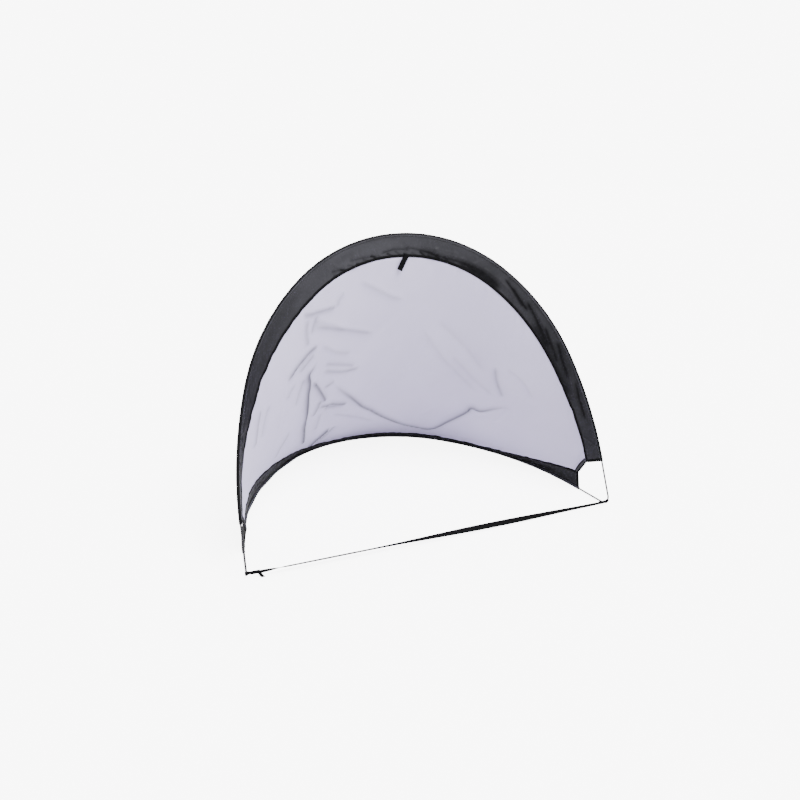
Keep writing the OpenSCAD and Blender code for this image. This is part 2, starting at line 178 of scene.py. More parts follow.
def whole(frames, half_len, stations):
    """The frames from the right end over the apex to the left end; stations run from -1 to 1."""
    s = half_len * (1 - np.abs(stations))
    side = np.where(stations <= 0, 1.0, -1.0)
    p, d, n, t = frames(s, side)
    side = side[:, None]
    flip = np.concatenate([side, np.ones_like(side), np.ones_like(side)], 1)
    p, d, n = p * flip, d * flip, n * flip
    t = t * flip * side
    return p + [0, shift_y, 0], d, n, t


# ---- the right corner bend: an arc of wire round bend_mid, from the ground arc's leg to the arch's ----
arch_leg = in_arch(-math.sin(arch_inset), math.cos(arch_inset))
rear_leg = np.array([-math.sin(rear_inset), math.cos(rear_inset), 0])
legs_apart = math.acos(arch_leg @ rear_leg)
cut_off = bend_r / math.tan(legs_apart / 2)
corner = np.array([half_width, shift_y, wire_z])
bend_mid = corner + unit(arch_leg + rear_leg) * bend_r / math.sin(legs_apart / 2)
bend_a = unit(corner + rear_leg * cut_off - bend_mid)
bend_b = corner + arch_leg * cut_off - bend_mid
bend_b = unit(bend_b - bend_a * (bend_b @ bend_a))
bend_n = np.cross(bend_a, bend_b)


# ---- folding: each point's share of the fold, by how far it stands round the hinge ----
_, hinge_y, hinge_z = bend_mid


def ride(piece, body):
    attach(piece, body)
    return piece


def weigh(piece, share):
    """Works out each point's share of the fold, holds it in the points while the piece's transform goes into
    its mesh, and puts the points back.
    """
    co = np.zeros(len(piece.data.vertices) * 3)
    piece.data.vertices.foreach_get("co", co)
    share = np.clip(share(co.reshape(-1, 3)), 0, 1)
    # Each point's place where an ease from start to end gives its own share
    place = np.zeros((len(share), 3))
    place[:, 1] = 0.5 - np.sin(np.arcsin(1 - 2 * share) / 3)
    piece.data.vertices.foreach_set("co", place.ravel())
    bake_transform(piece)
    piece.data.vertices.foreach_set("co", co)
    piece.data.update()
    return piece


def fan(co):
    """Share of the fold between the legs, from the ground's 0 to the arch's 1."""
    return np.arctan2(co[:, 2] - hinge_z, co[:, 1] - hinge_y) / legs_apart


def round_bend(co):
    """The same along the corner's wire, which goes round the outside of the hinge."""
    ang = np.arctan2(co[:, 2] - hinge_z, co[:, 1] - hinge_y)
    gone = np.mod(-math.pi / 2 - ang, 2 * math.pi)
    return np.where(gone > 1.5 * math.pi, 0, gone / (math.pi - legs_apart))


# ---- making cloth ----
def new_piece(name, points, faces, uvs):
    mesh = bpy.data.meshes.new(name)
    mesh.from_pydata([tuple(p) for p in points], [], faces)
    layer = mesh.uv_layers.new(name="cloth")
    loops = np.zeros(len(mesh.loops), np.int32)
    mesh.loops.foreach_get("vertex_index", loops)
    layer.data.foreach_set("uv", uvs[loops].ravel())
    mesh.polygons.foreach_set("use_smooth", [True] * len(mesh.polygons))
    mesh.update()
    piece = bpy.data.objects.new(name, mesh)
    bpy.context.scene.collection.objects.link(piece)
    return piece


def apply_modifiers(piece):
    bpy.ops.object.select_all(action="DESELECT")
    piece.select_set(True)
    bpy.context.view_layer.objects.active = piece
    for m in list(piece.modifiers):
        bpy.ops.object.modifier_apply(modifier=m.name)


def cloth(name, grid, thickness, across=None, along_m=None, painted_shade=None):
    """A sheet over a grid of points, with UVs in metres along and across it, given its thickness."""
    rows, cols = grid.shape[:2]
    idx = np.arange(rows * cols).reshape(rows, cols)
    quads = np.stack([idx[:-1, :-1], idx[1:, :-1], idx[1:, 1:], idx[:-1, 1:]], -1)
    if along_m is None:
        step = np.linalg.norm(np.diff(grid, axis=0), axis=-1).mean(1)
        along_m = np.concatenate([[0], np.cumsum(step)])
    if across is None:
        step = np.linalg.norm(np.diff(grid, axis=1), axis=-1).mean(0)
        across = np.concatenate([[0], np.cumsum(step)])
    uv = np.stack(np.meshgrid(along_m, across, indexing="ij"), -1).reshape(-1, 2)
    piece = new_piece(name, grid.reshape(-1, 3), quads.reshape(-1, 4).tolist(), uv)
    # An attribute of painted shade, from 0 to 1, that the materials darken by
    if painted_shade is not None:
        piece.data.attributes.new("painted_shade", "FLOAT", "POINT").data.foreach_set("value", painted_shade.ravel())
    solid = piece.modifiers.new("thickness", "SOLIDIFY")
    solid.thickness = thickness
    solid.offset = 0
    apply_modifiers(piece)
    return piece


def through(a, b, c, d, f):
    """The point at share f from b to c on a smooth curve through a, b, c and d."""
    return 0.5 * (2 * b + (c - a) * f + (2 * a - 5 * b + 4 * c - d) * f**2 + (3 * b - a - 3 * c + d) * f**3)


def wander(s, step, seed, amount):
    """A smooth random line along s with features about step long."""
    r = np.random.default_rng(seed)
    n = int((s.max() - s.min()) / step) + 6
    knots = r.normal(0, 1, n)
    t = (s - s.min()) / step + 2
    i = np.clip(t.astype(int), 1, n - 3)
    return amount * through(knots[i - 1], knots[i], knots[i + 1], knots[np.minimum(i + 2, n - 1)], t - i)


def laid(p, d, n, ds, hs):
    """A grid of points: ds along d and hs along n from each point of the line p."""
    return p[:, None] + d[:, None] * ds[..., None] + n[:, None] * hs[..., None]


def wrinkles(s, d, folds):
    """Height of folds (s0, d0, length, width, angle, height) at points s along and d across."""
    h = np.zeros(np.broadcast(s, d).shape)
    for s0, d0, long, wide, turn, high in folds:
        c, k = math.cos(math.radians(turn)), math.sin(math.radians(turn))
        p = (s - s0) * c + (d - d0) * k
        q = -(s - s0) * k + (d - d0) * c
        h += high * np.exp(-((q / wide) ** 2)) * np.exp(-((p / (long / 2)) ** 2) ** 1.3)
    return h


# ---- camera ----
def place_camera():
    az, el, roll = (math.radians(a) for a in (-22.2384, 19.1551, 0.4657))
    picture, focal, middle_x, middle_y = 800, 693.4458, 407.2158, 405.9234  # pixels
    distance, target = 2.0908947, Vector((0, 0.3 + shift_y, 0.3))
    back = Vector((math.sin(az) * math.cos(el), -math.cos(az) * math.cos(el), math.sin(el)))
    where = target + back * distance
    right = (-back).cross(Vector((0, 0, 1))).normalized()
    up = right.cross(-back)
    r2 = right * math.cos(roll) + up * math.sin(roll)
    u2 = -right * math.sin(roll) + up * math.cos(roll)
    data = bpy.data.cameras.new("camera")
    data.sensor_width = 36
    data.lens = focal / picture * data.sensor_width
    data.shift_x = (picture / 2 - middle_x) / picture
    data.shift_y = (middle_y - picture / 2) / picture
    data.clip_end = 100
    cam = bpy.data.objects.new("camera", data)
    rows = [(r2[k], u2[k], back[k], where[k]) for k in range(3)]
    cam.matrix_world = Matrix((*rows, (0, 0, 0, 1)))
    bpy.context.scene.collection.objects.link(cam)
    bpy.context.scene.camera = cam


# ---- materials ----
class Nodes:
    """A material's nodes, added and linked by short calls."""

    def __init__(self, name):
        self.mat = bpy.data.materials.new(name)
        self.mat.use_nodes = True
        self.tree = self.mat.node_tree
        self.tree.nodes.clear()
        self.out = self.add("ShaderNodeOutputMaterial")
        self.skin = self.add("ShaderNodeBsdfPrincipled")
        self.link(self.skin.outputs[0], self.out.inputs["Surface"])

    def add(self, kind, **values):
        node = self.tree.nodes.new(kind)
        for key, value in values.items():
            setattr(node, key, value)
        return node

    def link(self, a, b):
        self.tree.links.new(a, b)

    def put(self, socket, value):
        """Links a socket, or sets it to a number or to a colour of three numbers."""
        if isinstance(value, bpy.types.NodeSocket):
            self.link(value, socket)
        else:
            socket.default_value = (*value, 1) if isinstance(value, tuple) else value

    def math(self, op, a, b=0.0, c=0.0, clamp=False):
        node = self.add("ShaderNodeMath", operation=op, use_clamp=clamp)
        for socket, value in zip(node.inputs, (a, b, c)):
            self.put(socket, value)
        return node.outputs[0]

    def scaled(self, value, by, plus, clamp=False):
        return self.math("MULTIPLY_ADD", value, by, plus, clamp)

    def wave(self, along, pitch):
        return self.math("SINE", self.math("MULTIPLY", along, 2 * math.pi / pitch))

    def ribs(self, along, pitch):
        """From 0 to 1 and back in each pitch."""
        return self.scaled(self.wave(along, pitch), 0.5, 0.5)

    def uv(self):
        return self.add("ShaderNodeUVMap", uv_map="cloth").outputs[0]

    def place(self):
        return self.add("ShaderNodeTexCoord").outputs["Object"]

    # The painted shade that a mesh holds, from 0 to 1
    def painted_shade(self):
        return self.add("ShaderNodeAttribute", attribute_name="painted_shade").outputs["Fac"]

    def split(self, vector):
        node = self.add("ShaderNodeSeparateXYZ")
        self.link(vector, node.inputs[0])
        return node.outputs

    def noise(self, vector, scale, detail=3.0, rough=0.5):
        node = self.add("ShaderNodeTexNoise")
        self.link(vector, node.inputs["Vector"])
        node.inputs["Scale"].default_value = scale
        node.inputs["Detail"].default_value = detail
        node.inputs["Roughness"].default_value = rough
        return node.outputs["Fac"]

    def ramp(self, factor, stops):
        node = self.add("ShaderNodeValToRGB")
        self.link(factor, node.inputs[0])
        band = node.color_ramp.elements
        while len(band) < len(stops):
            band.new(0.5)
        for e, (at, colour) in zip(band, stops):
            e.position = at
            e.color = (*colour, 1)
        return node.outputs[0]

    def mix(self, factor, a, b):
        """Colour a where factor is 0, and b where it is 1."""
        node = self.add("ShaderNodeMix", data_type="RGBA")
        for k, value in ((0, factor), (6, a), (7, b)):
            self.put(node.inputs[k], value)
        return node.outputs[2]

    def bump(self, height, strength, distance, after=None):
        node = self.add("ShaderNodeBump")
        node.inputs["Strength"].default_value = strength
        node.inputs["Distance"].default_value = distance
        self.link(height, node.inputs["Height"])
        if after is not None:
            self.link(after, node.inputs["Normal"])
        return node.outputs[0]

    def finish(self, colour, rough, normal=None, shine=0.5, **others):
        values = {"Base Color": colour, "Roughness": rough, "Specular IOR Level": shine, **others}
        for key, value in values.items():
            self.put(self.skin.inputs[key], value)
        if normal is not None:
            self.link(normal, self.skin.inputs["Normal"])
        return self.mat


# Pitches of threads, ribs and stitches, in metres. A pattern's x runs along its cloth and y across it.
satin_pitch = 0.0009
tape_pitch = 0.0011
web_pitch = 0.0022
net_pitch = 0.0026
stitch_pitch = 0.0032


def stitches(n, x, y, at):
    """1 on a row of stitches that runs along x at y = at."""
    dash = n.scaled(n.wave(x, stitch_pitch), 3.0, 1.4, clamp=True)
    away = n.math("ABSOLUTE", n.math("SUBTRACT", y, at))
    return n.math("MULTIPLY", dash, n.scaled(away, -5000.0, 1.7, clamp=True))


def satin(name, sewn_at, shade_from=None):
    """Black satin with a row of stitches, darkened by painted shade in its folds and towards its feet, and
    darkest with painted shade past a given distance across it.
    """
    n = Nodes(name)
    x, y, _ = n.split(n.uv())
    crossing = n.math("MULTIPLY", n.wave(x, satin_pitch), n.wave(y, satin_pitch))
    weave = n.scaled(crossing, 0.5, 0.5)
    place = n.place()
    cloudy = n.noise(place, 9, 4)
    fine = n.noise(n.uv(), 420, 2)
    colour = n.ramp(cloudy, [(0.3, (0.042, 0.042, 0.048)), (0.7, (0.056, 0.055, 0.064))])
    colour = n.mix(n.math("MULTIPLY", weave, 0.35), colour, (0.070, 0.069, 0.080))
    sewn = stitches(n, x, y, sewn_at)
    colour = n.mix(sewn, colour, (0.060, 0.060, 0.066))
    # Painted shade in the folds and towards the feet, from the mesh's painted shade attribute
    colour = n.mix(n.painted_shade(), colour, (0.002, 0.002, 0.003))
    if shade_from is not None:
        # Painted shade along the pocket's outermost curve, past the given distance across
        outer = n.math("MULTIPLY", n.math("SUBTRACT", y, shade_from), 1200.0, clamp=True)
        colour = n.mix(outer, colour, (0.004, 0.004, 0.005))
    crumpled = n.bump(n.noise(place, 60, 5, 0.6), 0.5, 0.003)
    normal = n.bump(n.math("ADD", weave, n.math("MULTIPLY", sewn, 2.0)), 0.25, 0.0002, crumpled)
    return n.finish(colour, n.scaled(fine, 0.18, 0.36), normal, shine=0.09)


def binding():
    """Matte black tape with ribs across it and a row of stitches near each edge."""
    n = Nodes("matte_black_binding")
    x, y, _ = n.split(n.uv())
    rib = n.ribs(x, tape_pitch)
    dirt = n.noise(n.place(), 70, 4)
    sewn = stitches(n, x, y, 0.0016)
    colour = n.ramp(dirt, [(0.3, (0.0025, 0.0025, 0.003)), (0.75, (0.005, 0.005, 0.006))])
    colour = n.mix(n.math("MULTIPLY", rib, 0.4), colour, (0.009, 0.009, 0.010))
    colour = n.mix(sewn, colour, (0.030, 0.030, 0.033))
    normal = n.bump(n.math("ADD", rib, n.math("MULTIPLY", sewn, 2.0)), 0.5, 0.0002)
    return n.finish(colour, n.scaled(dirt, 0.15, 0.75), normal, shine=0.05)


def webbing():
    """Black webbing with slanting ribs between its lengthwise ones."""
    n = Nodes("black_webbing")
    x, y, _ = n.split(n.uv())
    both = n.math("MULTIPLY", n.ribs(n.math("ADD", x, y), web_pitch), n.ribs(y, web_pitch / 2))
    fuzz = n.noise(n.place(), 260, 4)
    colour = n.ramp(fuzz, [(0.3, (0.0035, 0.0035, 0.004)), (0.75, (0.008, 0.008, 0.009))])
    colour = n.mix(n.math("MULTIPLY", both, 0.45), colour, (0.014, 0.014, 0.016))
    normal = n.bump(both, 0.6, 0.0003)
    return n.finish(colour, n.scaled(fuzz, 0.2, 0.7), normal, shine=0.02)


def corner_binding():
    """Black tape whose folded edges lie over a paler middle."""
    n = Nodes("corner_binding")
    x, y, _ = n.split(n.uv())
    away = n.math("ABSOLUTE", n.math("SUBTRACT", y, corner_tape_w / 2))
    pale = n.math("SUBTRACT", 1.0, n.math("MULTIPLY", n.math("SUBTRACT", away, 0.0022), 900.0), clamp=True)
    rib = n.ribs(x, tape_pitch)
    fuzz = n.noise(n.place(), 200, 3)
    dark = n.ramp(fuzz, [(0.3, (0.003, 0.003, 0.004)), (0.75, (0.007, 0.007, 0.008))])
    light = n.ramp(fuzz, [(0.3, (0.040, 0.040, 0.046)), (0.75, (0.060, 0.060, 0.068))])
    sewn = n.math("ADD", stitches(n, x, y, 0.0032), stitches(n, x, y, 0.0118), clamp=True)
    colour = n.mix(sewn, n.mix(pale, dark, light), (0.030, 0.030, 0.033))
    normal = n.bump(n.math("ADD", rib, n.math("MULTIPLY", sewn, 2.0)), 0.5, 0.0002)
    return n.finish(colour, n.scaled(fuzz, 0.15, 0.7), normal, shine=0.15)


def net_cloth():
    """Fine knitted net: small holes in staggered rows between pale lavender threads, with painted shade
    along its creases.
    """
    n = Nodes("pale_knitted_net")
    x, y, _ = n.split(n.uv())
    k = 2 * math.pi / net_pitch
    up = n.math("MULTIPLY", y, k * 0.866)
    a = n.math("COSINE", n.math("MULTIPLY", x, k))
    b = n.math("COSINE", n.math("MULTIPLY_ADD", x, k * 0.5, up))
    c = n.math("COSINE", n.math("MULTIPLY_ADD", x, -k * 0.5, up))
    holes = n.scaled(n.math("ADD", n.math("ADD", a, b), c), 0.222, 0.333, clamp=True)
    cloudy = n.noise(n.place(), 5, 4)
    streak = n.noise(n.uv(), 60, 3)
    thread = n.ramp(cloudy, [(0.3, (0.690, 0.635, 0.89)), (0.7, (0.755, 0.700, 0.96))])
    thread = n.mix(n.math("MULTIPLY", streak, 0.10), thread, (0.47, 0.45, 0.62))
    gap = (0.36, 0.345, 0.47)
    colour = n.mix(n.math("MULTIPLY", n.math("POWER", holes, 1.6), 0.55), thread, gap)
    # Painted shade along the creases, from the mesh's painted shade attribute
    colour = n.mix(n.painted_shade(), colour, (0.10, 0.097, 0.135))
    normal = n.bump(n.math("SUBTRACT", 1.0, holes), 0.35, 0.0003)
    return n.finish(colour, n.scaled(streak, 0.1, 0.72), normal, shine=0.25, **{"Sheen Weight": 0.15})


def spring_steel():
    """Dark drawn wire, bright in places, with fine spots."""
    n = Nodes("drawn_spring_steel")
    place = n.place()
    spots = n.noise(place, 900, 3, 0.7)
    stain = n.noise(place, 35, 4)
    colour = n.ramp(stain, [(0.3, (0.045, 0.045, 0.048)), (0.7, (0.080, 0.080, 0.084))])
    normal = n.bump(spots, 0.12, 0.0002)
    return n.finish(colour, n.scaled(spots, 0.2, 0.28), normal, Metallic=1.0)


def crimp_steel():
    n = Nodes("crimped_steel_tube")
    marks = n.noise(n.place(), 500, 4, 0.6)
    colour = n.ramp(marks, [(0.3, (0.45, 0.45, 0.46)), (0.7, (0.62, 0.62, 0.63))])
    return n.finish(colour, n.scaled(marks, 0.2, 0.3), n.bump(marks, 0.2, 0.0003), Metallic=1.0)


SATIN = satin("black_satin_polyester", 0.0076)
POCKET = satin("black_satin_pocket", 0.0012, 0.0058)
BINDING = binding()
WEBBING = webbing()
CORNER = corner_binding()
NET = net_cloth()
STEEL = spring_steel()
CRIMP = crimp_steel()


def dress(piece, material, slot, *nodes):
    """Gives a piece its material in the place of the nodes that it stands for, and hides those; its slot is
    not used.
    """
    piece.data.materials.clear()
    piece.data.materials.append(material)
    if nodes:
        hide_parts(*nodes)
    return piece


# ---- the bands: satin strips that run from the wire's pocket to the net ----
def band_folds(half_len, width, count, seed, busy):
    """Random soft folds across a band, with more of them where busy(share of its length) is high."""
    r = np.random.default_rng(seed)
    folds = []
    while len(folds) < count:
        s0 = r.uniform(0.03, 2 * half_len - 0.03)
        if r.uniform() > busy(s0 / (2 * half_len)):
            continue
        turn = r.choice([-1, 1]) * r.uniform(38, 82)
        d0, long, wide = r.uniform(0.35, 0.95) * width, r.uniform(0.025, 0.075), r.uniform(0.003, 0.008)
        folds.append((s0, d0, long, wide, turn, r.choice([-1, 1]) * r.uniform(0.0003, 0.0013)))
    return folds


def most_near_middle(u):
    return 0.3 + 0.7 * math.exp(-(((u - 0.43) / 0.17) ** 2))


front_folds = band_folds(arch_len, front_band_w, 170, 11, most_near_middle)
rear_folds = band_folds(rear_len, rear_band_w, 80, 12, lambda u: 0.6)


def hold_ends(s, half_len):
    """1 along a band and 0 inside its two hemmed ends; s runs from 0 to 2 half_len."""
    hemmed, fade = 0.011, 0.03
    return ease((s - hemmed) / fade) * ease((2 * half_len - hemmed - s) / fade)


# Long folds: lines of points (s, d) on a band, with their height and the width of their flanks, in metres
FRONT_RIDGES = [
    ([(0.96, 0.052), (0.90, 0.044), (0.83, 0.038), (0.77, 0.034), (0.70, 0.032), (0.62, 0.036),
      (0.54, 0.046)], 0.0050, 0.010),
    ([(0.66, 0.018), (0.594, 0.031), (0.526, 0.038)], -0.0036, 0.004),
    ([(0.86, 0.050), (0.80, 0.047), (0.74, 0.052)], -0.0030, 0.004),
    ([(0.525, 0.016), (0.446, 0.028), (0.364, 0.042)], 0.0044, 0.007),
    ([(0.50, 0.030), (0.42, 0.044), (0.37, 0.054)], -0.0030, 0.005),
    ([(0.365, 0.016), (0.306, 0.023), (0.263, 0.025), (0.18, 0.034)], 0.0040, 0.007),
    ([(0.25, 0.016), (0.198, 0.022), (0.133, 0.026)], -0.0032, 0.005),
    ([(1.088, 0.050), (1.037, 0.042), (0.986, 0.046)], -0.0026, 0.004),
    ([(1.01, 0.038), (0.936, 0.045), (0.882, 0.052)], -0.0028, 0.004),
    ([(1.20, 0.040), (1.14, 0.048), (1.089, 0.055)], -0.0024, 0.004),
    ([(1.265, 0.042), (1.215, 0.054)], -0.0022, 0.004),
    ([(0.95, 0.030), (0.887, 0.033), (0.82, 0.026)], 0.0024, 0.005),
    ([(1.42, 0.020), (1.50, 0.034), (1.60, 0.040)], 0.0022, 0.007),
    ([(1.66, 0.016), (1.76, 0.026), (1.86, 0.040)], -0.0024, 0.006),
]
REAR_RIDGES = [
    ([(0.12, 0.044), (0.20, 0.034), (0.30, 0.030)], 0.0030, 0.007),
    ([(0.32, 0.020), (0.42, 0.032), (0.52, 0.036)], -0.0022, 0.006),
    ([(1.42, 0.036), (1.54, 0.028), (1.66, 0.034)], 0.0026, 0.006),
    ([(1.68, 0.020), (1.76, 0.032), (1.82, 0.040)], -0.0022, 0.006),
]


def to_line(points, line):
    """Distance of each point to a line of points, and the share of the line's length where it is nearest."""
    best = np.full(points.shape[:-1], 1e9)
    at = np.zeros_like(best)
    ends = np.concatenate([[0], np.cumsum(np.linalg.norm(np.diff(line, axis=0), axis=1))])
    for k in range(len(line) - 1):
        seg = line[k + 1] - line[k]
        f = np.clip(((points - line[k]) @ seg) / (seg @ seg), 0, 1)
        dist = np.linalg.norm(points - line[k] - f[..., None] * seg, axis=-1)
        near = dist < best
        best = np.where(near, dist, best)
        at = np.where(near, (ends[k] + f * (ends[k + 1] - ends[k])) / ends[-1], at)
    return best, at


def smooth_line(points, count=45):
    """A smooth line through points, with equal steps of the parameter."""
    pts = np.asarray(points, float)
    pts = np.concatenate([2 * pts[:1] - pts[1:2], pts, 2 * pts[-1:] - pts[-2:-1]])
    t = np.linspace(0, len(points) - 1 - 1e-9, count)
    i = t.astype(int)
    return through(pts[i], pts[i + 1], pts[i + 2], pts[i + 3], (t % 1)[:, None])


def crest(points, line, wide):
    """1 on a line's crest, falling off over wide to its sides and fading at its two ends."""
    dist, at = to_line(points, line)
    return np.exp(-dist / wide) * ease(at / 0.16 + 0.1) * ease((1 - at) / 0.16 + 0.1)


def band_height(s, d, width, half_len, folds, ridges, seed, slack):
    """How far a band's cloth lies from its smooth surface, at s along it and d across."""
    s, d = np.broadcast_arrays(s, d)
    place = np.stack([s, d], -1)
    long_folds = sum(high * crest(place, smooth_line(line), wide) for line, high, wide in ridges)
    long_folds = long_folds * ease((width - 0.004 - d) / 0.012) * ease((d - pocket_w) / 0.008)
    edge = wander(s, 0.016, seed, 0.0008) * np.exp(-(((d - width) / 0.016) ** 2))
    pocket = wander(s, 0.020, seed + 1, 0.0006) * np.exp(-(((d - pocket_w) / 0.012) ** 2))
    loose = wander(s, 0.11, seed + 2, slack) * np.sin(np.pi * np.clip(d / width, 0, 1))
    return (wrinkles(s, d, folds) + long_folds + edge + pocket + loose) * hold_ends(s, half_len)


# Shaded hollows beside the bands' folds: lines of points (s, d) with their width and depth of shade
FRONT_SHADES = [
    ([(0.955, 0.040), (0.88, 0.050), (0.80, 0.046), (0.72, 0.044), (0.64, 0.050)], 0.010, 0.75),
    ([(0.66, 0.018), (0.594, 0.031), (0.526, 0.038)], 0.004, 0.8),
    ([(0.56, 0.020), (0.47, 0.036), (0.39, 0.048)], 0.005, 0.7),
    ([(0.40, 0.014), (0.33, 0.028), (0.27, 0.034)], 0.005, 0.7),
    ([(0.26, 0.014), (0.198, 0.024), (0.133, 0.030)], 0.005, 0.6),
    ([(1.088, 0.050), (1.037, 0.042), (0.986, 0.046)], 0.004, 0.6),
    ([(1.01, 0.038), (0.936, 0.045), (0.882, 0.052)], 0.004, 0.6),
    ([(1.20, 0.040), (1.14, 0.048), (1.089, 0.055)], 0.004, 0.5),
    ([(1.265, 0.042), (1.215, 0.054)], 0.004, 0.5),
    ([(0.82, 0.058), (0.74, 0.054), (0.64, 0.060)], 0.012, 0.5),
    ([(0.50, 0.050), (0.36, 0.054), (0.20, 0.052)], 0.010, 0.4),
    ([(0.46, 0.022), (0.40, 0.034), (0.33, 0.046)], 0.0035, 0.7),
    ([(0.62, 0.024), (0.55, 0.040)], 0.004, 0.6),
]
# Painted shade for short slanting puckers along the seam at the top; these lines add no height to the cloth
pucker_step = 0.028
PUCKER_SHADES = [
    ([(0.872 + pucker_step * k, 0.046 + 0.004 * (k % 3)), (0.840 + pucker_step * k, 0.0635)],
     0.0026, 0.6 + 0.4 * (k % 2))
    for k in range(15)
]
REAR_SHADES = [
    ([(0.10, 0.030), (0.22, 0.022), (0.34, 0.026)], 0.006, 0.5),
    ([(1.50, 0.030), (1.62, 0.036), (1.76, 0.030)], 0.006, 0.5),
]
# Painted shade of the full hollows and towards the feet, and the most that the two may give
hollow_shade, foot_shade, most_shade = 0.9, 0.47, 0.97


def shade(band, run, ds):
    """How much painted shade the cloth gets: in its hollows, towards the two feet, and a little all over."""
    s, d = np.broadcast_arrays(run[:, None], ds)
    place = np.stack([s, d], -1)
    hollows = sum((deep * crest(place, smooth_line(line), wide) for line, wide, deep in band.shades), 0 * s)
    # Painted shade growing towards the right foot and towards the left foot
    right = 1 - ease((s / band.half_len - 0.35) / 0.8)
    left = 1.6 * ease(1.25 * (1 - (2 * band.half_len - s)))
    streak = wander(run, 0.05, 7, 0.05)[:, None] * np.cos(ds / band.width * 9)
    total = hollows * hollow_shade + foot_shade * np.maximum(right, left) + streak + band.shade_all_over
    return np.clip(total, 0, most_shade)


def front_height(s, d):
    return band_height(s, d, front_band_w, arch_len, front_folds, FRONT_RIDGES, 21, 0.0014)


def rear_height(s, d):
    return band_height(s, d, rear_band_w, rear_len, rear_folds, REAR_RIDGES, 31, 0.0012)


class Band:
    """One band's frames, sizes, folds and painted shade, from its right end over the middle to its left end.
    """

    def __init__(self, name, frames, half_len, width, height, body, rows, shades, shade_all_over):
        self.name, self.frames, self.half_len, self.width = name, frames, half_len, width
        self.height, self.body, self.rows = height, body, rows
        self.shades, self.shade_all_over = shades, shade_all_over

    def strip(self, stations, ds, hs=0.0):
        """Points at distances ds across the band and hs above its cloth, and the way run along it."""
        p, d, n, _ = whole(self.frames, self.half_len, stations)
        run = self.half_len * (1 + stations)
        ds = np.broadcast_to(np.asarray(ds, float), (len(stations), np.shape(ds)[-1]))
        return laid(p, d, n, ds, self.height(run[:, None], ds) + hs), run

    def edge(self, stations, far):
        """The unfolded line at distance far across the band."""
        p, d, _, _ = whole(self.frames, self.half_len, stations)
        return (p + d * far)[:, None]


# Each band's painted shade: its shaded lines, and an even share all over, more on the rear band
front = Band("front", front_frames, arch_len, front_band_w, front_height, ARCH,
             rows=901, shades=FRONT_SHADES + PUCKER_SHADES, shade_all_over=0.05)
back = Band("rear", rear_frames, rear_len, rear_band_w, rear_height, GROUND,
            rows=801, shades=REAR_SHADES, shade_all_over=0.18)


def make_satin(band):
    """The band's own cloth, from just inside the wire's pocket to the net."""
    ds = np.linspace(pocket_w - 0.0012, band.width, 27)
    grid, run = band.strip(np.linspace(-1, 1, band.rows), ds)
    piece = cloth(band.name + "_band_cloth", grid, band_t, ds, run, shade(band, run, ds))
    return weigh(dress(piece, SATIN, "black_satin", band.name + "_band"), fan)


def make_pocket(band, seed, slack):
    """The sewn pocket round the wire: a drop-shaped sleeve, loose by slack on its left inner side."""
    stations = np.linspace(-1, 1, band.rows)
    theta = np.radians(np.linspace(-122, 122, 15))
    ds = np.concatenate([[pocket_w, 0.0040], -pocket_r * np.cos(theta), [0.0040, pocket_w]])
    hs = np.concatenate([[-0.0008, -0.0019], pocket_r * np.sin(theta), [0.0019, 0.0008]])
    run = band.half_len * (1 + stations)
    hold = hold_ends(run, band.half_len)
    ripple = np.stack([wander(run, 0.014, seed + k, 0.05) for k in range(len(ds))], 1)
    ripple = np.clip(ripple, -0.12, 0.06) * hold[:, None]
    seam = band.height(run, 0 * run + pocket_w)[:, None] * ease(ds / pocket_w)
    p, d, n, _ = whole(band.frames, band.half_len, stations)
    loose = slack * ease((stations - 0.1) / 0.25) * (1 + 0.5 * np.sin(run * 41)) * hold
    out_h = hs * (1 + ripple) + seam + loose[:, None] * np.clip(hs / pocket_r, 0, 1)
    grid = laid(p, d, n, ds * (1 + ripple), out_h)
    grid[..., 2] = np.maximum(grid[..., 2], pocket_t)
    piece = cloth(band.name + "_wire_pocket", grid, pocket_t, from_edges(ds, hs), run)
    return ride(dress(piece, POCKET, "black_satin", band.name + "_wire_casing"), band.body)


def from_edges(ds, hs):
    """Each point's distance along a profile from the nearer of its two edges."""
    run = np.concatenate([[0], np.cumsum(np.hypot(np.diff(ds), np.diff(hs)))])
    return np.minimum(run, run[-1] - run)


def fold_round(edge, reach, high):
    """Profile of a tape folded round an edge: distances from the edge, and heights."""
    flat = np.array([1.0, 0.75, 0.5, 0.25]) * reach
    crown = high * np.array([0.80, 1.0, 1.05, 1.0])
    turn, fold_r = np.radians(np.linspace(60, -60, 5)), 0.0009
    ds = np.concatenate([edge - flat, edge - fold_r * 0.7 + fold_r * np.cos(turn), (edge - flat)[::-1]])
    hs = np.concatenate([crown, high * 0.95 * np.sin(turn), -crown[::-1]])
    return ds, hs


def make_seam_tape(band):
    """Binding folded over the seam between the band and the net."""
    stations = np.linspace(-1, 1, band.rows)
    ds, hs = fold_round(band.width, tape_w - 0.002, 0.00125)
    run = band.half_len * (1 + stations)
    ruched = 1 + np.clip(wander(run, 0.008, 5 + band.rows, 0.12), -0.15, 0.3)[:, None]
    grid, _ = band.strip(stations, ds, hs * ruched)
    piece = cloth(band.name + "_seam_binding", grid, tape_t, from_edges(ds, hs), run)
    return weigh(dress(piece, BINDING, "black_binding", band.name + "_seam_tape"), fan)


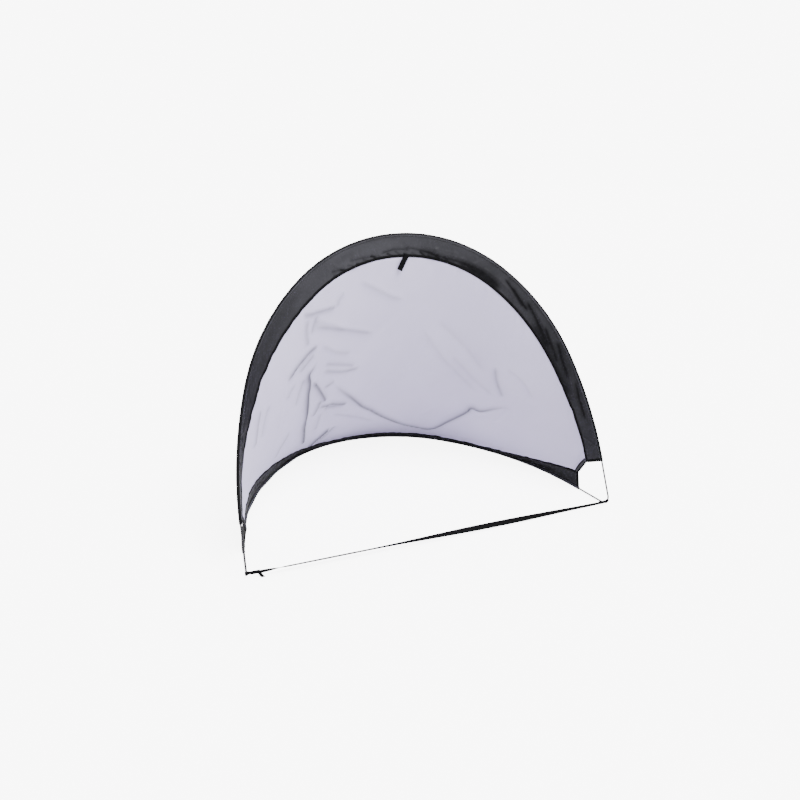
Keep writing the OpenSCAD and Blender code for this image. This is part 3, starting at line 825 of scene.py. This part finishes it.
def make_hem(band, side, name):
    """Tape folded round the band's end, from the wire's pocket to the seam tape."""
    p, d, n, t = (a[0] for a in whole(band.frames, band.half_len, np.array([-float(side)])))
    inward = t * side
    reach, hs = fold_round(0, hem_w - 0.0006, 0.0013)
    ds = np.linspace(0.0055, band.width - tape_w - 0.0006, 15)
    wave = 1 + 0.05 * np.sin(ds * 260 + side)
    high = (hs[None, :] * wave[:, None])[..., None]
    grid = p + d * ds[:, None, None] + inward * -(reach + 0.0002)[None, :, None] + n * high
    piece = cloth(f"{band.name}_end_hem_{name}", grid, hem_t, from_edges(reach, hs), ds)
    return weigh(dress(piece, BINDING, "black_binding", f"{band.name}_hem_{name}"), fan)


front_cloth, rear_cloth = make_satin(front), make_satin(back)
front_pocket, rear_pocket = make_pocket(front, 41, 0.0), make_pocket(back, 71, 0.0022)
front_tape, rear_tape = make_seam_tape(front), make_seam_tape(back)
front_hems = [make_hem(front, side, name) for side, name in SIDES]
rear_hems = [make_hem(back, side, name) for side, name in SIDES]


# ---- the net: one sheet from band to band, sagging forwards and down, with creases ----
net_down = np.array([0, -0.86712, -0.49810])
net_rows, net_columns = 355, 138

# Each crease is a line of points (u, v), from -1 at the right to 1 at the left and from the front
# band (0) to the rear one (1), with its height, the width of its flanks, in metres, and its depth of shade
CREASES = [
    ([(0.385, 0.02), (0.345, 0.05), (0.285, 0.081), (0.235, 0.1)], 0.0022, 0.006, 0.45),
    ([(0.36, 0.056), (0.37, 0.081), (0.37, 0.125), (0.365, 0.169)], 0.0016, 0.006, 0.35),
    ([(0.32, 0.081), (0.335, 0.113), (0.345, 0.144)], -0.0014, 0.006, 0.3),
    ([(0.315, 0.206), (0.345, 0.2), (0.37, 0.2), (0.41, 0.206), (0.44, 0.213),
      (0.475, 0.231)], 0.003, 0.007, 0.7),
    ([(0.335, 0.231), (0.37, 0.244), (0.41, 0.256)], 0.0014, 0.006, 0.35),
    ([(0.315, 0.281), (0.345, 0.3), (0.365, 0.312), (0.36, 0.363), (0.365, 0.419), (0.365, 0.5),
      (0.365, 0.569), (0.365, 0.675), (0.335, 0.906)], 0.0038, 0.008, 1),
    ([(0.34, 0.369), (0.31, 0.431), (0.285, 0.488), (0.26, 0.55)], 0.0028, 0.006, 0.75),
    ([(0.275, 0.45), (0.255, 0.444), (0.23, 0.438)], 0.0018, 0.006, 0.4),
    ([(0.235, 0.456), (0.19, 0.513), (0.14, 0.575), (0.08, 0.656), (0.025, 0.713), (-0.055, 0.794),
      (-0.14, 0.863), (-0.215, 0.894), (-0.295, 0.9), (-0.335, 0.794), (-0.385, 0.669), (-0.395, 0.625),
      (-0.44, 0.625), (-0.49, 0.569), (-0.53, 0.525), (-0.56, 0.525)], 0.00342, 0.01, 0.75),
    ([(0.29, 0.569), (0.26, 0.575), (0.215, 0.588), (0.15, 0.619)], 0.0026, 0.006, 0.65),
    ([(0.26, 0.6), (0.21, 0.613), (0.155, 0.625)], -0.0018, 0.006, 0.4),
    ([(0.29, 0.519), (0.3, 0.562), (0.32, 0.619)], 0.0022, 0.006, 0.5),
    ([(0.28, 0.985), (0.26, 0.906), (0.23, 0.844), (0.205, 0.788)], 0.0034, 0.006, 1),
    ([(0.24, 0.985), (0.205, 0.9), (0.17, 0.794)], -0.0022, 0.006, 0.45),
    ([(0.335, 0.113), (0.27, 0.163), (0.205, 0.206), (0.135, 0.244), (0.08, 0.269)], 0.0016, 0.007, 0.35),
    ([(0.29, 0.35), (0.24, 0.381), (0.185, 0.406), (0.12, 0.413)], 0.0018, 0.007, 0.4),
    ([(0.285, 0.325), (0.22, 0.363), (0.145, 0.4)], -0.0014, 0.007, 0.3),
    ([(0.53, 0.831), (0.505, 0.713), (0.47, 0.638), (0.45, 0.6)], 0.0018, 0.008, 0.35),
    ([(0.71, 0.319), (0.69, 0.244), (0.675, 0.175), (0.645, 0.125)], 0.002, 0.008, 0.4),
    ([(0.64, 0.406), (0.615, 0.3), (0.58, 0.231)], -0.0014, 0.009, 0.22),
    ([(0.48, 0.331), (0.455, 0.3), (0.43, 0.294)], 0.0014, 0.007, 0.25),
    ([(0.425, 0.456), (0.405, 0.381), (0.38, 0.319)], -0.0014, 0.007, 0.25),
    ([(0.285, 0.769), (0.28, 0.669), (0.275, 0.619)], 0.0012, 0.006, 0.25),
    ([(0.205, 0.062), (0.225, 0.081), (0.235, 0.1)], 0.0012, 0.007, 0.22),
    ([(0.145, 0.05), (0.095, 0.088), (0.03, 0.131), (-0.02, 0.15)], 0.0013, 0.008, 0.22),
    ([(0.34, 0.088), (0.26, 0.156), (0.2, 0.213)], 0.001, 0.007, 0.15),
    ([(0.3, 0.219), (0.235, 0.288), (0.165, 0.325)], 0.0012, 0.008, 0.22),
    ([(0.215, 0.669), (0.105, 0.744), (-0.015, 0.838)], -0.0012, 0.008, 0.2),
    ([(-0.42, 0.319), (-0.445, 0.388), (-0.5, 0.469)], 0.0014, 0.007, 0.4),
    ([(-0.1, 0.263), (-0.23, 0.406), (-0.39, 0.513)], 0.0014, 0.016, 0.12),
    ([(-0.15, 0.225), (-0.265, 0.294), (-0.39, 0.381)], -0.0012, 0.016, 0.1),
    ([(-0.23, 0.356), (-0.34, 0.431), (-0.465, 0.494)], 0.0012, 0.014, 0.12),
    ([(-0.47, 0.288), (-0.56, 0.288), (-0.63, 0.331)], 0.001, 0.012, 0.1),
]
# How far the table's heights and shades are raised, and the narrowest shade that the net's grid can carry
crease_height, crease_shade, least_shade_w = 2.9, 1.35, 0.0058

# Soft folds of the net, with places in metres along and down it
draw = np.random.default_rng(77)
SOFT_FOLDS = [
    (draw.uniform(0.4, 1.9), draw.uniform(0.15, 0.75), draw.uniform(0.15, 0.40), draw.uniform(0.008, 0.020),
     draw.uniform(20, 75), draw.choice([-1, 1]) * draw.uniform(0.001, 0.0028))
    for _ in range(34)
]


def net_taut(us, v):
    """The net without waves or creases at places us, each with its own row v, and the bands' edges there."""
    a, b = (band.edge(us, band.width + net_gap) for band in (front, back))
    bow = net_sag * (1 - us**2)[:, None] * (4 * v * (1 - v))
    return a + (b - a) * v[..., None] + bow[..., None] * net_down, a, b


def net_ruled(us, vs):
    """The net without its creases. It follows the bands' waves only near them."""
    v = vs[None, :]
    grid, a0, b0 = net_taut(us, v)
    a, b = (band.strip(us, [band.width + net_gap])[0] for band in (front, back))
    depth, reach = np.linalg.norm(b0 - a0, axis=-1), 0.02
    near_a, near_b = np.exp(-v * depth / reach) * (1 - v), np.exp(-(1 - v) * depth / reach) * v
    return grid + (a - a0) * near_a[..., None] + (b - b0) * near_b[..., None]


def normals_of(grid):
    return unit(np.cross(np.gradient(grid, axis=0), np.gradient(grid, axis=1)))


def net_relief(us, vs, grid):
    """Height of the creases and of the puckers along the seams, and the painted shade that each point gets
    along the creases.
    """
    h, painted_crease_shade = np.zeros(grid.shape[:2]), np.zeros(grid.shape[:2])
    for line, high, wide, dark in CREASES:
        u, v = smooth_line(line).T
        spots = net_taut(u, v[:, None])[0][:, 0]
        h += crease_height * high * crest(grid, spots, wide)
        painted_crease_shade += crease_shade * dark * crest(grid, spots, max(least_shade_w, wide / 2))
    run = arch_len * (1 + us)[:, None]
    depth = np.linalg.norm(grid[:, -1] - grid[:, 0], axis=-1)[:, None]
    near_front, near_rear = vs[None, :] * depth, (1 - vs)[None, :] * depth
    h += wander(run, 0.021, 61, 0.0011) * np.exp(-near_front / 0.022) * ease(near_front / 0.004)
    h += wander(run, 0.024, 62, 0.0009) * np.exp(-near_rear / 0.022) * ease(near_rear / 0.004)
    h += wander(run, 0.17, 63, 0.0030) * np.sin(np.pi * vs)[None, :]
    h += wrinkles(run, near_front, SOFT_FOLDS) * np.sin(np.pi * vs)[None, :]
    return h * ease((1 - np.abs(us)) / 0.06)[:, None], np.clip(painted_crease_shade, 0, 1)


def make_net():
    us, vs = np.linspace(-1, 1, net_rows), np.linspace(0, 1, net_columns)
    grid = net_ruled(us, vs)
    high, painted_crease_shade = net_relief(us, vs, grid)
    piece = cloth("net_cloth", grid + normals_of(grid) * high[..., None], net_t, painted_shade=painted_crease_shade)
    return weigh(dress(piece, NET, "net_mesh", "net_panel"), fan)


net_cloth_piece = make_net()


def make_corner_tape(side, name):
    """Binding along the end of the net, over its edge, on the inside."""
    vs = np.linspace(0.012, 0.988, 45)
    edge, _, inner = net_ruled(np.linspace(-1, -0.9, 3), vs)
    away = unit(inner - edge)
    n = np.cross(away, unit(np.gradient(edge, axis=0)))
    n = unit(n * np.sign(n @ np.array([-1.0, 0, 0.4]))[:, None])
    proud, steps = 0.0012, 9
    crown = proud + 0.0004 * np.sin(np.linspace(0, np.pi, steps))
    across = np.concatenate([[0.004, 0.002, 0.0, -proud], np.linspace(0.0, corner_tape_w, steps)])
    high = np.concatenate([[-proud, -0.0013, -proud, 0.0], crown])
    wave = 1 + 0.15 * np.sin(np.linspace(0, 17, len(vs)) + side)[:, None]
    grid = laid(edge, away, n, across[None, :], high[None, :] * wave)
    piece = cloth(f"net_corner_binding_{name}", grid * [side, 1, 1], hem_t, across)
    return weigh(dress(piece, CORNER, "black_binding", f"corner_tape_{name}"), fan)


corner_tapes = [make_corner_tape(side, name) for side, name in SIDES]


# ---- the corner bends: spring wire swept round each ground corner ----
def make_corner_bend(side, name):
    """A disc of the wire's size at the rear leg, spun round the bend's middle to the arch's leg."""
    flip = np.array([side, 1, 1])
    start, axis, centre = (bend_mid + bend_a * bend_r) * flip, bend_n * flip * side, bend_mid * flip
    turn = Vector(bend_b * flip).to_track_quat("Z", "X").to_euler()
    bpy.ops.object.select_all(action="DESELECT")
    bpy.ops.mesh.primitive_circle_add(
        vertices=28, radius=wire_r, fill_type="NGON", location=start, rotation=turn)
    piece = bpy.context.object
    piece.name = f"corner_wire_{name}"
    bpy.ops.object.transform_apply(location=True, rotation=True, scale=True)
    bpy.ops.object.mode_set(mode="EDIT")
    bpy.ops.mesh.select_all(action="SELECT")
    bpy.ops.mesh.spin(steps=40, angle=legs_apart - math.pi, center=centre, axis=axis)
    bpy.ops.mesh.select_all(action="SELECT")
    bpy.ops.mesh.normals_make_consistent(inside=False)
    bpy.ops.object.mode_set(mode="OBJECT")
    bpy.ops.object.shade_smooth_by_angle(angle=math.radians(50))
    return weigh(dress(piece, STEEL, "spring_steel", f"corner_bend_{name}"), round_bend)


# ---- webbing: the ground strap with its loops and tail, the peg loops and the top tab ----
loop_angle = math.radians(60)
strap_tilt = math.radians(120)


def round_corner(theta):
    """The direction from the bend's middle to its wire, theta on from the rear leg."""
    return bend_a * math.cos(theta) + bend_b * math.sin(theta)


loop_mid = bend_mid + round_corner(loop_angle) * bend_r
strap_end = loop_mid - towards(strap_tilt - math.pi / 2) * 0.0019 + [-0.012, 0, 0]


def crosswise(width, count):
    return np.linspace(-0.5, 0.5, count) * width


def make_strap():
    """One slow half turn: nearly flat on the left and on its edge right of the middle."""
    u = np.linspace(0, 1, 361)
    rest = math.radians(-22)
    to_right = (strap_tilt - rest) * ease((u - 0.26) / 0.72)
    to_left = (strap_tilt - math.pi - rest) * (1 - ease((u - 0.02) / 0.07))
    flutter = wander(u, 0.11, 91, 0.03) * ease(u / 0.1) * ease((1 - u) / 0.1)
    angle = rest + to_right + to_left + flutter
    width = loop_w + (strap_w - loop_w) * ease(np.minimum(u, 1 - u) / 0.05)
    w = np.stack([0 * u, np.cos(angle), np.sin(angle)], -1)
    n = np.cross([1, 0, 0], w)
    line = np.stack([strap_end[0] * (2 * u - 1), 0 * u + strap_end[1], 0 * u + strap_end[2]], -1)
    across = crosswise(1, 9)
    crown = 0.00025 * np.cos(np.pi * across)
    grid = laid(line, w, n, width[:, None] * across, crown[None, :])
    piece = cloth("ground_strap_webbing", grid, web_t, (across + 0.5) * strap_w, u * 2 * strap_end[0])
    return ride(dress(piece, WEBBING, "black_webbing", "ground_strap"), GROUND)


def make_strap_loop(side, name):
    """Webbing folded round the corner wire, its two plies sewn into a tongue for the strap."""
    tongue = [(0.0332 - 0.0012 * k, 0.00062) for k in range(22)] + [(0.0062, 0.0009), (0.0047, 0.0014)]
    eye_r, turns = 0.0034, np.radians(range(42, 181, 12))
    half = tongue + [(eye_r * math.cos(a), eye_r * math.sin(a)) for a in turns]
    path = np.array(half + [(x, -y) for x, y in half[::-1]])
    inward = np.outer(path[:, 0], [-1, 0, 0])
    share = ease((path[:, 0] - 0.003) / 0.006)[:, None]
    across = crosswise(loop_w, 9)
    w = towards(strap_tilt)
    n = np.cross([-1, 0, 0], w)
    grid = np.zeros((len(path), len(across), 3))
    for j, c in enumerate(across):
        out = round_corner(loop_angle + c / bend_r)
        curved = bend_mid + out * bend_r + inward - np.outer(path[:, 1], out)
        flat = loop_mid + inward + np.outer(path[:, 1], n) + w * c
        grid[:, j] = curved * (1 - share) + flat * share
    piece = cloth(f"strap_loop_webbing_{name}", grid * [side, 1, 1], web_t * 0.95)
    return ride(dress(piece, WEBBING, "black_webbing", f"strap_loop_{name}"), GROUND)


def make_tail():
    """The strap's free end, which hangs from the left loop to the ground."""
    t = np.linspace(0, 1, 33)
    top = strap_end - towards(strap_tilt - math.pi / 2) * 0.0021
    front_y = strap_end[1] - math.hypot(strap_w, web_t) / 2
    line = np.stack([
        -half_width + 0.033 + 0.009 * t,
        top[1] + (front_y + 0.002 - top[1]) * t,
        web_t / 2 + 0.0001 + (top[2] - web_t / 2) * (1 - t) ** 1.3,
    ], -1)
    grid = line[:, None] + np.array([1.0, 0, 0]) * crosswise(0.010, 7)[None, :, None]
    grid[:, :, 1] += 0.0003 * np.sin(np.linspace(0, 5, 33))[:, None]
    piece = cloth("strap_tail_webbing", grid, web_t)
    return ride(dress(piece, WEBBING, "black_webbing", "strap_tail"), GROUND)


def make_peg_loop(side, name):
    """A webbing eye for a ground peg, sewn to the back of the rear pocket."""
    from_middle, eye_r, long, end = 0.235, 0.0064, 0.036, 0.007
    p, d, _, _ = (a[0] for a in rear_frames(np.array([rear_len - from_middle]), np.array([1.0])))
    out = -unit(np.array([d[0], d[1], 0]))
    sideways = np.array([-out[1], out[0], 0])
    base = p * [1, 1, 0] + [0, shift_y, 0] + out * 0.0045
    a = np.linspace(0, 2 * math.pi, 73)
    reach = long / 2 - np.cos(a) * eye_r - np.sign(np.cos(a)) * (long / 2 - end)
    way = np.stack([eye_r * np.sin(a), reach], -1)
    way[np.abs(np.cos(a)) < 1e-9, 1] = long / 2
    up = np.linspace(0.0006, 0.0096, 7)
    lean_in = 0.0004 * np.sin(a * 2)[:, None] * (up / 0.01)[None, :]
    grid = (
        base + sideways * way[:, 0][:, None, None] + out * way[:, 1][:, None, None]
        + np.array([0, 0, 1.0]) * up[None, :, None] + sideways * lean_in[..., None]
    )
    piece = cloth(f"peg_loop_webbing_{name}", grid * [side, 1, 1], web_t * 0.9)
    return ride(dress(piece, WEBBING, "black_webbing", f"peg_loop_{name}"), GROUND)


def make_top_tab():
    """A folded tab that hangs from the seam at the top of the mouth, slanting to the left."""
    p, d, n, _ = (a[0] for a in front_frames(np.array([arch_len]), np.array([1.0])))
    slant, long, fold_r = math.radians(27), 0.0482, 0.0012
    down = d * math.cos(slant) + np.array([-1.0, 0, 0]) * math.sin(slant)
    side = np.cross(down, n)
    start = p + [0.018, shift_y, 0] + d * (front_band_w - tape_w + 0.002) + n * 0.0022
    straight = np.linspace(0, long, 25)
    turn = np.radians(np.linspace(-75, 75, 7))
    xs = np.concatenate([straight, long + fold_r * np.cos(turn), straight[::-1]])
    hs = np.concatenate([0.0006 + 0 * straight, 0.0018 + fold_r * np.sin(turn), 0.0030 + 0 * straight])
    curl = 0.0009 * np.sin(xs / long * 2.4)
    grid = (
        start + down * xs[:, None, None] + n * (hs + curl)[:, None, None]
        + side * (crosswise(0.015, 7)[None, :, None] + 0.0012 * np.sin(xs * 60)[:, None, None])
    )
    piece = cloth("top_tab_webbing", grid, web_t * 0.95)
    return weigh(dress(piece, WEBBING, "black_webbing", "top_tab"), fan)


for side, name in SIDES:
    make_corner_bend(side, name)
make_strap()
for side, name in SIDES:
    make_strap_loop(side, name)
make_tail()
for side, name in SIDES:
    make_peg_loop(side, name)
make_top_tab()

# ---- steel that the frame already holds ----
METALS = {"front_arch_wire": STEEL, "rear_wire_left": STEEL, "rear_wire_right": STEEL, "wire_ferrule": CRIMP}
for node, metal in METALS.items():
    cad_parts[node].data.materials.clear()
    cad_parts[node].data.materials.append(metal)


# ---- floor and light ----
backdrop_glow = 6.5
sky_glow = backdrop_glow + 1.2
fill_light = 0.8
key_light = 5.0
key_towards = (-0.6, 0.9, -1.9)


def studio():
    bpy.ops.object.select_all(action="DESELECT")
    bpy.ops.mesh.primitive_plane_add(size=60, location=(0, 0, 0))
    floor = bpy.context.object
    floor.name = "studio_floor"
    n = Nodes("white_studio_floor")
    n.finish((0.95, 0.95, 0.95), 0.9, shine=0.0, **{"Emission Color": (1, 1, 1)})
    seen = n.add("ShaderNodeLightPath").outputs["Is Camera Ray"]
    n.put(n.skin.inputs["Emission Strength"], n.math("MULTIPLY", seen, backdrop_glow))
    floor.data.materials.append(n.mat)

    world = bpy.data.worlds.new("studio")
    bpy.context.scene.world = world
    world.use_nodes = True
    tree = world.node_tree
    sky = tree.nodes["Background"]
    sky.inputs["Color"].default_value = (1, 1, 1, 1)
    path = tree.nodes.new("ShaderNodeLightPath")
    glow = tree.nodes.new("ShaderNodeMath")
    glow.operation = "MULTIPLY_ADD"
    tree.links.new(path.outputs["Is Camera Ray"], glow.inputs[0])
    glow.inputs[1].default_value = sky_glow
    glow.inputs[2].default_value = fill_light
    tree.links.new(glow.outputs[0], sky.inputs["Strength"])

    sun = bpy.data.lights.new("key_light", "SUN")
    sun.energy = key_light
    sun.angle = math.radians(35)
    key = bpy.data.objects.new("key_light", sun)
    key.rotation_euler = Vector(key_towards).to_track_quat("-Z", "Y").to_euler()
    bpy.context.scene.collection.objects.link(key)


place_camera()
studio()
